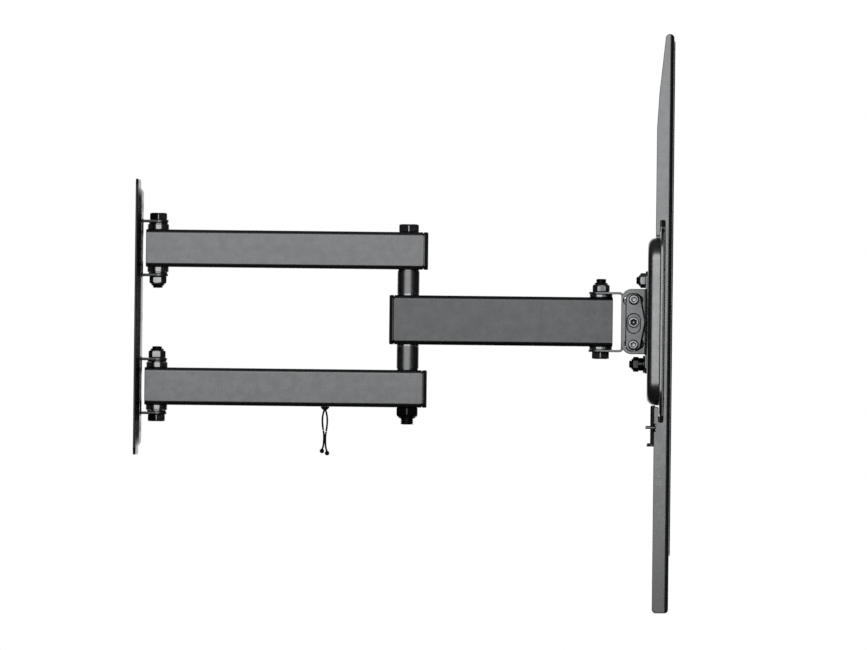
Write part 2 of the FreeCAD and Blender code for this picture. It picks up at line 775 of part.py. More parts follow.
def tilt_bracket():
    outer_bend = bracket_sheet + 1.2
    top_view = [(bracket_reach_x, -bracket_outer_y, 0), (cross_back_x, -bracket_outer_y, outer_bend)]
    top_view += [(cross_back_x, bracket_outer_y, outer_bend), (bracket_reach_x, bracket_outer_y, 0)]
    top_view += [(bracket_reach_x, bracket_ear_y, 0), (bracket_web_x, bracket_ear_y, 1.2)]
    top_view += [(bracket_web_x, -bracket_ear_y, 1.2), (bracket_reach_x, -bracket_ear_y, 0)]
    ears = prism("XY", top_view, -bracket_ear_bottom, bracket_ear_top)
    corner = bracket_ear_corner
    side_view = [(bracket_reach_x, -bracket_ear_bottom, corner), (cross_back_x, -bracket_ear_bottom, 0)]
    side_view += [(cross_back_x, bracket_ear_top, 0), (bracket_reach_x, bracket_ear_top, corner)]
    ears = ears.common(prism("XZ", side_view, -bracket_outer_y, bracket_outer_y))
    half = bracket_web_width / 2
    reach = bracket_web_height / 2
    bracket = ears.fuse(slab("YZ", -half, half, -reach, reach, bracket_web_x, cross_back_x, bracket_web_corner))
    bore = tilt_shank / 2 + running_gap
    bracket = bracket.cut(rod("XZ", tilt_x, 0, bore, -bracket_outer_y, bracket_outer_y))
    bracket = bracket.cut([tilt_slot(1), tilt_slot(-1)])
    bracket = bracket.cut(rod("YZ", 0, 0, level_pivot_radius + fixed_gap, bracket_web_x, cross_back_x))
    for height in (-level_bolt_height, level_bolt_height):
        bolt_hole = rod("YZ", 0, height, level_shank / 2 + fixed_gap, bracket_web_x, cross_back_x)
        bracket = bracket.cut(bolt_hole)
    return bracket.removeSplitter()


# Hollow rivet at the centre of the levelling motion
def level_pivot():
    back = bracket_web_x - level_pivot_head
    front = cross_back_x + cross_sheet + running_gap
    end = front + level_pivot_head
    bore = level_pivot_radius - 2.0
    profile = [(bore, back), (level_pivot_head_radius, back), (level_pivot_head_radius, bracket_web_x)]
    profile += [(level_pivot_radius, bracket_web_x), (level_pivot_radius, front)]
    profile += [(level_pivot_head_radius, front), (level_pivot_head_radius, end), (bore, end)]
    return turned("YZ", 0, 0, profile)


# Levelling bolt: flat head inside the tray, nut behind the bracket
def level_bolt(height, packing):
    seat = cross_back_x + cross_sheet + running_gap + level_washer_thickness
    tip = bracket_web_x - packing - level_nut_height - level_stub
    return hex_bolt("YZ", 0, height, level_shank, level_flats, level_head, seat, tip, level_stub)


def level_nut(height, packing):
    seat = bracket_web_x - packing
    return lock_nut("YZ", 0, height, level_shank, level_flats, seat, seat - level_nut_height)


def level_washers():
    bore = level_shank / 2 + fixed_gap
    front = cross_back_x + cross_sheet + running_gap
    washers = []
    for height in (-level_bolt_height, level_bolt_height):
        low = front
        washers.append(ring("YZ", 0, height, level_washer_radius, bore, low, low + level_washer_thickness))
    back = bracket_web_x - level_washer_thickness
    spacer_back = back - level_spacer_thickness
    washers.append(ring("YZ", 0, -level_bolt_height, level_washer_radius, bore, back, bracket_web_x))
    washers.append(ring("YZ", 0, -level_bolt_height, level_flats / 2, bore, spacer_back, back))
    return Part.makeCompound(washers)


# Edges of a solid that lie in the plane at the given x
def edges_at(shape, x):
    return [edge for edge in shape.Edges if all(abs(vertex.X - x) < 1e-6 for vertex in edge.Vertexes)]


def tray_block(inset):
    half_width = tray_width / 2 - inset
    half_height = tray_height / 2 - inset
    back = cross_back_x + inset
    corner = tray_corner - inset
    block = slab("YZ", -half_width, half_width, -half_height, half_height, back, cross_front_x, corner)
    return block.makeFillet(tray_bend - inset, edges_at(block, back))


def cross_plate():
    half_width = cross_width / 2
    half_height = cross_height / 2
    flange = slab("YZ", -half_width, half_width, -half_height, half_height, flange_back_x, cross_front_x,
                  cross_corner)
    plate = tray_block(0).fuse(flange).cut(tray_block(cross_sheet))
    back = cross_back_x + cross_sheet
    plate = plate.cut(rod("YZ", 0, 0, level_pivot_radius + running_gap, cross_back_x, back))
    slot_half = level_shank / 2 + 0.3
    slot_reach = slot_half + level_bolt_height * math.sin(math.radians(level_range))
    for height in (-level_bolt_height, level_bolt_height):
        low = height - slot_half
        slot = slab("YZ", -slot_reach, slot_reach, low, low + 2 * slot_half, cross_back_x, back, slot_half)
        plate = plate.cut(slot)
    for side in (-1, 1):
        for way in (-1, 1):
            near = sorted((side * tray_window_start, side * tray_window_end))
            low = sorted((way * tray_window_inner, way * tray_window_outer))
            window = slab("YZ", near[0], near[1], low[0], low[1], cross_back_x, back, tray_window_corner)
            plate = plate.cut(window)
    return plate.removeSplitter()


# Side view of a rail: notched round the cross plate's flanges, tapered towards the top
def rail_side_view(slot_depth):
    foot = -rail_below
    slot_top = cross_height / 2 + slot_depth
    hook_end = tray_height / 2 + hook_clearance
    hook_front = flange_back_x - sliding_gap
    notch_x = cross_front_x + hook_slot_front
    corners = [(rail_back_x, foot, rail_corner), (rail_front_x, foot, rail_corner)]
    corners += [(rail_front_x, rail_above, rail_corner)]
    corners += [(rail_front_x - rail_tip_depth, rail_above, rail_corner)]
    corners += [(rail_front_x - rail_taper_middle_depth, rail_taper_middle, 20.0)]
    corners += [(rail_back_x, rail_taper_start, 40.0)]
    for way in (1, -1):
        hook = [(rail_back_x, way * hook_end, hook_tip_radius), (hook_front, way * hook_end, hook_tip_radius)]
        hook += [(hook_front, way * slot_top, 1.0), (notch_x, way * slot_top, 1.0)]
        corners += hook if way > 0 else hook[::-1]
    return corners


# Upright plate bent back out of the rail's web, with the lock screw's thread in it
def rail_tongue():
    half = tongue_width / 2
    foot = tongue_top - tongue_sheet
    plate = slab("XZ", tongue_reach_x, rail_front_x, foot, tongue_top, -half, half)
    return plate.cut(rod("XY", lock_x, 0, lock_shank / 2 + fixed_gap, foot, tongue_top))


def rail():
    half = rail_width / 2
    inner = half - rail_sheet
    web_back = rail_front_x - rail_sheet
    outer_bend = rail_bend + rail_sheet
    section = [(rail_back_x, -half, 0), (rail_front_x, -half, outer_bend), (rail_front_x, half, outer_bend)]
    section += [(rail_back_x, half, 0), (rail_back_x, inner, 0), (web_back, inner, rail_bend)]
    section += [(web_back, -inner, rail_bend), (rail_back_x, -inner, 0)]
    channel = prism("XY", section, -rail_below, rail_above)
    outer_wall = prism("XZ", rail_side_view(hook_slot_depth), 0, half)
    inner_wall = prism("XZ", rail_side_view(hook_slot_inner_depth), -half, 0)
    channel = channel.common(outer_wall.fuse(inner_wall))
    rib_half = rail_rib_width / 2
    rib_low = -rail_below + rail_rib_foot
    rib_high = rail_above - rail_rib_top
    rib_front = rail_front_x + rail_rib
    rib = slab("YZ", -rib_half, rib_half, rib_low, rib_high, web_back, rib_front, rib_half - 1.0)
    groove_half = rib_half - rail_sheet
    groove = slab("YZ", -groove_half, groove_half, rib_low + rail_sheet, rib_high - rail_sheet,
                  web_back, web_back + rail_rib, groove_half - 1.0)
    channel = channel.fuse(rib).cut(groove)
    window_low = tongue_top - tongue_sheet - tongue_window
    half_tongue = tongue_width / 2
    window = slab("YZ", -half_tongue, half_tongue, window_low, tongue_top - tongue_sheet, web_back, rib_front)
    channel = channel.cut(window).fuse(rail_tongue())
    notch_low = tongue_top - tongue_sheet * 2
    notch_high = notch_low + tongue_sheet * 3
    notch = slab("XZ", rail_back_x, rail_back_x + tongue_notch, notch_low, notch_high, -half, half)
    between = slab("XZ", rail_back_x, web_back, notch_low, notch_high, -inner, inner)
    channel = channel.cut(notch.cut(between))
    for way in (-1, 1):
        hole_height = way * screen_hole_spacing / 2
        channel = channel.cut(rod("YZ", 0, hole_height, screen_hole_radius, web_back, rib_front))
        for height in rail_slot_heights:
            low = way * height - rail_slot_length / 2
            slot = slab("YZ", -screen_hole_radius, screen_hole_radius, low, low + rail_slot_length,
                        web_back, rib_front, screen_hole_radius)
            channel = channel.cut(slot)
    return channel.removeSplitter()


# Knurled-head screw that comes up against the tray and keeps the rail from lifting off
def lock_screw():
    tip = tray_foot - lock_tip_gap
    foot = tip - lock_length
    radius = lock_shank / 2
    profile = [(0, tip), (radius - 0.5, tip), (radius, tip - 0.5), (radius, foot)]
    low = foot - lock_head_height
    profile += [(lock_head_radius, foot), (lock_head_radius, low), (0, low)]
    return turned("XY", lock_x, 0, profile)


def placed(shape, y):
    return shape.translate(Vector(0, y, 0))


def build():
    down = Vector(0, 0, 1)
    across = Vector(0, 1, 0)
    rail_y = rail_spacing / 2
    upper_packing = 0.0
    lower_packing = level_washer_thickness + level_spacer_thickness
    return {
        "wall_plate": wall_plate(),
        "upper_pivot_bolt": upper_pivot_bolt(),
        "lower_pivot_bolt": mirrored(upper_pivot_bolt(), down),
        "upper_pivot_nut": upper_pivot_nut(),
        "lower_pivot_nut": mirrored(upper_pivot_nut(), down),
        "pivot_washers": pivot_washers(),
        "upper_arm": upper_arm(),
        "lower_arm": lower_arm(),
        "upper_arm_bushings": upper_arm_bushings(),
        "lower_arm_bushings": mirrored(upper_arm_bushings(), down),
        "arm_pivot_sleeves": pair(arm_pivot_sleeve(), down),
        "arm_elbow_sleeves": pair(arm_elbow_sleeve(), down),
        "upper_arm_cap": end_cap(arm_end_x, 1, arm_tube_height, arm_height),
        "lower_arm_cap": end_cap(arm_end_x, 1, arm_tube_height, -arm_height),
        "elbow_bolt": elbow_bolt(),
        "elbow_nut": elbow_nut(),
        "elbow_washers": pair(elbow_washer(), down),
        "upper_elbow_spacer": elbow_spacer(),
        "lower_elbow_spacer": mirrored(elbow_spacer(), down),
        "cable_clip": cable_clip(),
        "forearm": forearm(),
        "forearm_cap": end_cap(forearm_start_x, -1, forearm_tube_height, 0),
        "forearm_elbow_bushings": forearm_elbow_bushings(),
        "forearm_elbow_sleeve": forearm_elbow_sleeve(),
        "forearm_swivel_bushings": forearm_swivel_bushings(),
        "forearm_swivel_sleeve": forearm_swivel_sleeve(),
        "swivel_yoke": swivel_yoke(),
        "swivel_bolt": swivel_bolt(),
        "swivel_nut": swivel_nut(),
        "tilt_bolt": tilt_bolt(),
        "tilt_nut": tilt_nut(),
        "tilt_screws": tilt_screws(),
        "tilt_screw_nuts": tilt_screw_nuts(),
        "friction_washers": friction_washers(),
        "near_clamp_plate": near_clamp_plate(),
        "far_clamp_plate": mirrored(near_clamp_plate(), across),
        "tilt_bracket": tilt_bracket(),
        "level_pivot": level_pivot(),
        "upper_level_bolt": level_bolt(level_bolt_height, upper_packing),
        "lower_level_bolt": level_bolt(-level_bolt_height, lower_packing),
        "upper_level_nut": level_nut(level_bolt_height, upper_packing),
        "lower_level_nut": level_nut(-level_bolt_height, lower_packing),
        "level_washers": level_washers(),
        "cross_plate": cross_plate(),
        "left_rail": mirrored(placed(rail(), rail_y), across),
        "right_rail": placed(rail(), rail_y),
        "left_lock_screw": placed(lock_screw(), -rail_y),
        "right_lock_screw": placed(lock_screw(), rail_y),
    }


os.makedirs("parts", exist_ok=True)
for name, shape in build().items():
    shape.exportStep("parts/" + name + ".step")
    print(name, len(shape.Solids), shape.isValid(), round(shape.Volume))
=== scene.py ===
import bpy
import json
import math
from mathutils import Matrix, Vector


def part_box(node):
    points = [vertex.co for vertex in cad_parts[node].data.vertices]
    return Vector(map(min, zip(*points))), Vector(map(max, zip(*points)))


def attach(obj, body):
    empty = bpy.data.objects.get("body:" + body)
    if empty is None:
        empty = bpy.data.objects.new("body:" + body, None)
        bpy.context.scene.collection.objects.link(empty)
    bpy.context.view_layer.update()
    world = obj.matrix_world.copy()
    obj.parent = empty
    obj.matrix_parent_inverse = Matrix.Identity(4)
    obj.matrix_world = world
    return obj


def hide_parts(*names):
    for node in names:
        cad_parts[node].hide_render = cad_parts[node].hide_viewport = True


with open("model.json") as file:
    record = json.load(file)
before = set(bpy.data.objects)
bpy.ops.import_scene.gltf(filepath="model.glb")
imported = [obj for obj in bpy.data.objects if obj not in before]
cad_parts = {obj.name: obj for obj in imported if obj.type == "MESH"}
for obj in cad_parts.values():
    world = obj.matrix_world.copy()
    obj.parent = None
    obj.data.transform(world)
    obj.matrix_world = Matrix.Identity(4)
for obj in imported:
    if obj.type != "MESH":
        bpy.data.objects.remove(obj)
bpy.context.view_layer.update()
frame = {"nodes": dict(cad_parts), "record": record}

mm = 0.001
nodes = frame["nodes"]
record = frame["record"]
bodyOf = {name: body for body, names in record["behaviour"]["bodies"].items() for name in names}
slotOf = {part["node"]: part["material_slot"] for part in record["subparts"]}

# The photograph is a side view from far away, turned clockwise by a little over half a degree
camera = {"away": 14.0, "footX": 0.400, "eyeZ": -0.06, "aimX": 0.2269, "aimZ": -0.0037,
          "pictureWidth": 0.660, "roll": 0.65, "farthest": 60.0}
# The front lamp stands a little high and nearer the wall than the screen, and a wide one hangs overhead
studio = {"lampAway": 1.5, "lampWide": 2.0, "lampHigh": 1.1, "lampX": -0.08, "lampZ": 0.36, "radiance": 1.06,
          "roomGrey": "#3C3D3F", "sideGrey": "#202021", "topLampHigh": 2.4, "topLampWide": 3.0, "topRadiance": 4.0,
          "floorX": 0.2, "floorZ": -0.62, "floorLong": 24.0, "floorWide": 5.0, "floorColour": "#E4E2DE"}


def placeCamera():
    lens = bpy.data.cameras.new("sideCamera")
    lens.lens = lens.sensor_width * camera["away"] / camera["pictureWidth"]
    lens.clip_end = camera["farthest"]
    eye = Vector((camera["footX"], -camera["away"], camera["eyeZ"]))
    look = Vector((camera["aimX"], 0.0, camera["aimZ"])) - eye
    holder = bpy.data.objects.new("sideCamera", lens)
    bpy.context.scene.collection.objects.link(holder)
    turn = look.to_track_quat("-Z", "Y").to_matrix().to_4x4()
    roll = Matrix.Rotation(math.radians(camera["roll"]), 4, "Z")
    holder.matrix_world = Matrix.Translation(eye) @ turn @ roll
    bpy.context.scene.camera = holder


def linearColour(hexText):
    parts = [int(hexText[place:place + 2], 16) / 255 for place in (1, 3, 5)]
    return [part / 12.92 if part <= 0.04045 else ((part + 0.055) / 1.055) ** 2.4 for part in parts] + [1.0]


def addNode(tree, kind, links=(), **settings):
    node = tree.nodes.new(kind)
    for name, value in settings.items():
        if name.startswith("in_"):
            key = name[3:]
            socket = node.inputs[int(key)] if key.isdigit() else node.inputs[key.replace("_", " ")]
            socket.default_value = value
        else:
            setattr(node, name, value)
    for source, target in links:
        tree.links.new(source, node.inputs[target])
    return node


def startMaterial(name):
    material = bpy.data.materials.new(name)
    material.use_nodes = True
    tree = material.node_tree
    tree.nodes.clear()
    output = addNode(tree, "ShaderNodeOutputMaterial")
    return material, tree, output


# Painted studio floor: matt and pale, far below the mount
def paleFloor():
    material, tree, output = startMaterial("paleFloorPaint")
    paint = addNode(tree, "ShaderNodeBsdfPrincipled", in_Base_Color=linearColour(studio["floorColour"]),
                    in_Roughness=0.85)
    tree.links.new(paint.outputs[0], output.inputs[0])
    return material


def addLamp(name, wide, high, radiance, place, turn):
    lamp = bpy.data.lights.new(name, "AREA")
    lamp.shape = "RECTANGLE"
    lamp.size = wide
    lamp.size_y = high
    lamp.energy = radiance * math.pi * wide * high
    holder = bpy.data.objects.new(name, lamp)
    bpy.context.scene.collection.objects.link(holder)
    holder.location = place
    holder.rotation_euler = [math.radians(angle) for angle in turn]
    holder.visible_camera = False
    return holder


# The camera sees white paper all round; steel mirrors a dim room with white paper only straight behind
def lightWorld():
    world = bpy.data.worlds.new("studioRoom")
    bpy.context.scene.world = world
    world.use_nodes = True
    tree = world.node_tree
    way = addNode(tree, "ShaderNodeTexCoord")
    parts = addNode(tree, "ShaderNodeSeparateXYZ", links=[(way.outputs["Generated"], 0)])
    paper = addNode(tree, "ShaderNodeMapRange", interpolation_type="SMOOTHSTEP", in_From_Min=0.72,
                    in_From_Max=0.92, links=[(parts.outputs["Y"], "Value")])
    room = addNode(tree, "ShaderNodeMapRange", interpolation_type="SMOOTHSTEP", in_From_Min=-0.3,
                   in_From_Max=1.0, links=[(parts.outputs["Z"], "Value")])
    grey = addNode(tree, "ShaderNodeMix", data_type="RGBA", in_6=linearColour(studio["sideGrey"]),
                   in_7=linearColour(studio["roomGrey"]), links=[(room.outputs[0], 0)])
    ray = addNode(tree, "ShaderNodeLightPath")
    seen = addNode(tree, "ShaderNodeMath", operation="MAXIMUM",
                   links=[(ray.outputs["Is Camera Ray"], 0), (paper.outputs[0], 1)])
    colour = addNode(tree, "ShaderNodeMix", data_type="RGBA", in_7=linearColour("#FFFFFF"),
                     links=[(seen.outputs[0], 0), (grey.outputs[2], 6)])
    tree.links.new(colour.outputs[2], tree.nodes["Background"].inputs["Color"])


def buildStudio():
    bpy.ops.object.select_all(action="DESELECT")
    bpy.ops.mesh.primitive_plane_add(size=1, location=(0, 0, 0))
    floor = bpy.context.object
    floor.name = "floor"
    spread = Matrix.Diagonal((studio["floorLong"], studio["floorWide"], 1.0, 1.0))
    floor.data.transform(Matrix.Translation((studio["floorX"], 0.0, studio["floorZ"])) @ spread)
    floor.data.materials.append(paleFloor())
    floor.visible_glossy = False
    addLamp("softFrontLamp", studio["lampWide"], studio["lampHigh"], studio["radiance"],
            (studio["lampX"], -studio["lampAway"], studio["lampZ"]), (90, 0, 0))
    topLamp = addLamp("softTopLamp", studio["topLampWide"], studio["topLampWide"], studio["topRadiance"],
                      (studio["floorX"], 0.0, studio["topLampHigh"]), (0, 0, 0))
    topLamp.visible_glossy = False
    lightWorld()


def addNoise(tree, sizeMm, detail):
    place = addNode(tree, "ShaderNodeTexCoord")
    return addNode(tree, "ShaderNodeTexNoise", in_Scale=1000 / sizeMm, in_Detail=detail,
                   links=[(place.outputs["Object"], "Vector")])


def addTones(tree, noise, tones):
    ramp = addNode(tree, "ShaderNodeValToRGB", links=[(noise.outputs["Fac"], 0)])
    for element, position, tone in zip(ramp.color_ramp.elements, (0.3, 0.7), tones):
        element.position = position
        element.color = linearColour(tone)
    return ramp


# Black powder coat on pressed steel: a satin film, even in tone, with a fine sandy grain and a
# slight orange peel. The grain is about 0.1 mm in truth and is drawn nine times coarser to show
powderCoat = {"grainMm": 0.9, "peelMm": 6.0, "metallic": 1.0, "smooth": 0.25, "rough": 0.31}
# Lit and shaded copies of one black coat: each part's film is painted lighter or darker for the light and shade that
# falls on it, painted light and shade rather than different coating runs
coatLitAndShaded = {"head": ("#8E8F90", "#9A9B9C"), "arms": ("#828384", "#8C8D8E"), "forearm": ("#6C6D6E", "#747576"),
             "wall": ("#464748", "#4E4F50"), "tray": ("#A4A5A6", "#B0B1B2")}


def powderCoatedSteel(tone):
    material, tree, output = startMaterial("powderCoatedSteel_" + tone)
    grain = addNoise(tree, powderCoat["grainMm"], 2.0)
    peel = addNoise(tree, powderCoat["peelMm"], 1.0)
    film = addTones(tree, grain, coatLitAndShaded[tone])
    gloss = addNode(tree, "ShaderNodeMapRange", in_From_Min=0.3, in_From_Max=0.7, in_To_Min=powderCoat["smooth"],
                    in_To_Max=powderCoat["rough"], links=[(peel.outputs["Fac"], "Value")])
    rise = addNode(tree, "ShaderNodeBump", in_Strength=0.04, in_Distance=0.0001,
                   links=[(grain.outputs["Fac"], "Height")])
    shader = addNode(tree, "ShaderNodeBsdfPrincipled", in_Metallic=powderCoat["metallic"],
                     links=[(film.outputs["Color"], "Base Color"), (gloss.outputs["Result"], "Roughness"),
                            (rise.outputs["Normal"], "Normal")])
    tree.links.new(shader.outputs[0], output.inputs[0])
    return material


# Black zinc plating on bolts, nuts and bushings: thin and shiny, so it mirrors the lamp as a bright
# band and the room as black, with faint cloudy mottling from the bath
zincPlate = {"mottleMm": 2.5, "smooth": 0.14, "rough": 0.22, "turnedMore": 0.13}
# Beside the plain plate, the turned copy is rougher and painted a little darker, and the darkest copy is painted much
# darker: both darkenings are painted shade, not oil
zincLitAndShaded = {"new": ("#AEAFB1", "#BEBFC1"), "turned": ("#939495", "#9E9FA0"), "shaded": ("#4A4B4C", "#585959")}


def blackZincPlate(tone):
    material, tree, output = startMaterial("blackZincPlate_" + tone)
    mottle = addNoise(tree, zincPlate["mottleMm"], 2.0)
    plate = addTones(tree, mottle, zincLitAndShaded[tone])
    more = zincPlate["turnedMore"] if tone == "turned" else 0
    gloss = addNode(tree, "ShaderNodeMapRange", in_To_Min=zincPlate["smooth"] + more,
                    in_To_Max=zincPlate["rough"] + more, links=[(mottle.outputs["Fac"], "Value")])
    shader = addNode(tree, "ShaderNodeBsdfPrincipled", in_Metallic=1.0,
                     links=[(plate.outputs["Color"], "Base Color"), (gloss.outputs["Result"], "Roughness")])
    tree.links.new(shader.outputs[0], output.inputs[0])
    return material


# Moulded black nylon: near black, semi-matt, with a fine spark-eroded texture
nylonSkin = {"tones": ("#0C0C0D", "#161617"), "sparkMm": 0.8}


def mouldedNylon():
    material, tree, output = startMaterial("mouldedNylon")
    spark = addNoise(tree, nylonSkin["sparkMm"], 2.0)
    colour = addTones(tree, spark, nylonSkin["tones"])
    rise = addNode(tree, "ShaderNodeBump", in_Strength=0.1, in_Distance=0.0001,
                   links=[(spark.outputs["Fac"], "Height")])
    shader = addNode(tree, "ShaderNodeBsdfPrincipled", in_Roughness=0.45, in_IOR=1.53, in_Specular_IOR_Level=0.1,
                     links=[(colour.outputs["Color"], "Base Color"), (rise.outputs["Normal"], "Normal")])
    tree.links.new(shader.outputs[0], output.inputs[0])
    return material


finishes = {"powder_coated_steel": powderCoatedSteel("head"), "black_zinc": blackZincPlate("new"),
            "moulded_nylon": mouldedNylon()}
# The wall plate, forearm, arms and tray take lit and shaded copies of the coat: painted light and shade
ownFinishes = {"wall_plate": powderCoatedSteel("wall"), "forearm": powderCoatedSteel("forearm")}
ownFinishes["upper_arm"] = ownFinishes["lower_arm"] = powderCoatedSteel("arms")
ownFinishes["cross_plate"] = powderCoatedSteel("tray")
ownFinishes["upper_elbow_spacer"] = ownFinishes["lower_elbow_spacer"] = blackZincPlate("turned")
# A darker copy of the black zinc for the lower level bolt and nut, level washers and pivot, elbow nut, threads and
# lock screws: painted shade
shadedZinc = blackZincPlate("shaded")
for name in ("lower_level_bolt", "lower_level_nut", "level_washers", "level_pivot", "elbow_nut"):
    ownFinishes[name] = shadedZinc


def dressNodes():
    for name, node in nodes.items():
        finish = ownFinishes.get(name, finishes[slotOf[name]])
        if not node.material_slots:
            node.data.materials.append(finish)
        for place in node.material_slots:
            place.material = finish


def pickOnly(piece):
    bpy.ops.object.select_all(action="DESELECT")
    piece.select_set(True)
    bpy.context.view_layer.objects.active = piece


def applyModifier(piece, kind, **settings):
    pickOnly(piece)
    modifier = piece.modifiers.new(kind.lower(), kind)
    for name, value in settings.items():
        setattr(modifier, name, value)
    bpy.ops.object.modifier_apply(modifier=modifier.name)


def smoothEdges(piece, angle=40):
    pickOnly(piece)
    bpy.ops.object.shade_smooth_by_angle(angle=math.radians(angle))
    applyModifier(piece, "WEIGHTED_NORMAL", keep_sharp=True)


def carry(piece, name, body, slot, finish=None):
    piece.name = name
    piece.data.name = name
    piece.data.materials.clear()
    piece.data.materials.append(finish or finishes[slot])
    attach(piece, body)


# The middle of a CAD node's box, in mm
def middleOf(name):
    return [(low + high) / 2 / mm for low, high in zip(*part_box(name))]


def copyPiece(piece):
    double = piece.copy()
    double.data = piece.data.copy()
    bpy.context.scene.collection.objects.link(double)
    return double


def putInPlace(piece, way, place):
    pickOnly(piece)
    piece.rotation_euler = Vector(way).to_track_quat("Z", "Y").to_euler()
    piece.location = [value * mm for value in place]
    bpy.ops.object.transform_apply(location=True, rotation=True, scale=True)


def startBox(wide, deep, high):
    bpy.ops.object.select_all(action="DESELECT")
    bpy.ops.mesh.primitive_cube_add(size=1 * mm, location=(0, 0, 0))
    bpy.ops.transform.resize(value=(wide, deep, high))
    bpy.ops.object.transform_apply(location=True, rotation=True, scale=True)
    return bpy.context.object


def startCylinder(sides, radius, high, middle=0):
    bpy.ops.object.select_all(action="DESELECT")
    bpy.ops.mesh.primitive_cylinder_add(vertices=sides, radius=radius * mm, depth=high * mm,
                                        location=(0, 0, middle * mm))
    bpy.ops.object.transform_apply(location=True, rotation=True, scale=True)
    return bpy.context.object


def clearSelection(piece):
    pickOnly(piece)
    for group in (piece.data.vertices, piece.data.edges, piece.data.polygons):
        for item in group:
            item.select = False


def faceSelection(piece, wanted):
    clearSelection(piece)
    for polygon in piece.data.polygons:
        polygon.select = wanted(polygon.center, polygon.normal)
    bpy.context.tool_settings.mesh_select_mode = (False, False, True)
    bpy.ops.object.mode_set(mode="EDIT")


def edgeSelection(piece, wanted):
    clearSelection(piece)
    for edge in piece.data.edges:
        edge.select = wanted(edge, [piece.data.vertices[index].co for index in edge.vertices])
    bpy.context.tool_settings.mesh_select_mode = (False, True, False)
    bpy.ops.object.mode_set(mode="EDIT")


def wholeSelection(piece):
    pickOnly(piece)
    bpy.ops.object.mode_set(mode="EDIT")
    bpy.ops.mesh.select_all(action="SELECT")


def extrude(x, y, z):
    bpy.ops.mesh.extrude_region_move(TRANSFORM_OT_translate={"value": (x * mm, y * mm, z * mm)})


# The clamp plates' outlines and slots are rounder than the other edges. Sizes are in mm: half the
# slot's box, half a screw hole's width and where it lies, how far out the plates' faces start, and
# where the outline's front part starts past the pin
clampPlate = {"slotX": 4.9, "slotZ": 8.6, "holeX": 2.8, "holeLow": 14.2, "holeHigh": 20.0, "faceY": 20.05,
              "frontX": 1.5}


def slotEdge(middle, centreX):
    return abs(middle.x - centreX) < clampPlate["slotX"] and abs(middle.z) < clampPlate["slotZ"]


def plateOutline(middle, centreX):
    inHole = (abs(middle.x - centreX) < clampPlate["holeX"]
              and clampPlate["holeLow"] < abs(middle.z) < clampPlate["holeHigh"])
    return abs(middle.y) > clampPlate["faceY"] and not inHole and not slotEdge(middle, centreX)


def frontOutline(middle, centreX):
    return middle.x > centreX + clampPlate["frontX"] and plateOutline(middle, centreX)


def backOutline(middle, centreX):
    return middle.x <= centreX + clampPlate["frontX"] and plateOutline(middle, centreX)


def plateSlot(middle, centreX):
    return abs(middle.y) > clampPlate["faceY"] and slotEdge(middle, centreX)


# Widths in mm, each with the test for the edges it goes on
clampEdges = ((1.4, frontOutline), (0.75, backOutline), (0.75, plateSlot))


def roundBroadEdges(piece):
    centreX = middleOf("tilt_bolt")[0]
    for width, wanted in clampEdges:
        facing = {}
        for polygon in piece.data.polygons:
            for key in polygon.edge_keys:
                facing.setdefault(tuple(sorted(key)), []).append(polygon.normal.copy())

        def sharpAndWanted(edge, ends):
            normals = facing.get(tuple(sorted(edge.vertices)), [])
            sharp = len(normals) == 2 and normals[0].dot(normals[1]) < 0.7
            return sharp and wanted((ends[0] + ends[1]) / 2 / mm, centreX)

        edgeSelection(piece, sharpAndWanted)
        bpy.ops.mesh.bevel(offset=width * mm, segments=1, affect="EDGES", clamp_overlap=False)
        bpy.ops.object.mode_set(mode="OBJECT")


# A seam runs round each capped tube a little before its end. Which end it is, and in mm how far in,
# half its width, its depth, and how far under the tube's face its vertices are looked for
tubeEnds = {"upper_arm": 1, "lower_arm": 1, "forearm": -1}
seam = {"inward": 1.4, "half": 0.5, "deep": 1.1, "skin": 1.0, "near": 0.01}


def cutSeam(piece, name):
    low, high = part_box(name)
    centre = Vector(middleOf(name)) * mm
    halfY, halfZ = [(high[axis] - low[axis]) / 2 / mm for axis in (1, 2)]
    way = tubeEnds[name]
    place = (high[0] if way > 0 else low[0]) - way * seam["inward"] * mm
    for shift in (-1, 0, 1):
        wholeSelection(piece)
        bpy.ops.mesh.bisect(plane_co=(place + shift * seam["half"] * mm, 0, 0), plane_no=(1, 0, 0))
        bpy.ops.object.mode_set(mode="OBJECT")
    clearSelection(piece)
    vertices = piece.data.vertices
    for vertex in vertices:
        outY = halfY - abs(vertex.co.y - centre.y) / mm
        outZ = halfZ - abs(vertex.co.z - centre.z) / mm
        vertex.select = abs(vertex.co.x - place) < seam["near"] * mm and min(outY, outZ) < seam["skin"]
    for edge in piece.data.edges:
        edge.select = all(vertices[index].select for index in edge.vertices)
    bpy.context.tool_settings.mesh_select_mode = (True, False, False)
    bpy.ops.object.mode_set(mode="EDIT")
    bpy.ops.transform.resize(value=(1, 1 - seam["deep"] / halfY, 1 - seam["deep"] / halfZ),
                             center_override=(place, centre.y, centre.z))
    bpy.ops.object.mode_set(mode="OBJECT")


# The lugs take the lighter coat copy and the wall plate's rim keeps the darker one: painted light and shade, not
# cleaner lugs. They start this far out, in mm
lugsFrom = 6.5


def paintLightOnLugs(piece):
    piece.data.materials.append(finishes["powder_coated_steel"])
    for polygon in piece.data.polygons:
        if polygon.center.x > lugsFrom * mm:
            polygon.material_index = 1


# Nuts stop where they are tight, so some show a flat to the camera: degrees turned, and width kept
turnedNuts = {"swivel_nut": (-24, 0.9), "upper_pivot_nut": (24, 0.9), "lower_pivot_nut": (24, 0.9)}


def turnNut(piece, name):
    angle, width = turnedNuts[name]
    centre = Vector(middleOf(name)) * mm
    turn = Matrix.Rotation(math.radians(angle), 4, "Z") @ Matrix.Diagonal((width, width, 1.0, 1.0))
    piece.data.transform(Matrix.Translation(centre) @ turn @ Matrix.Translation(-centre))


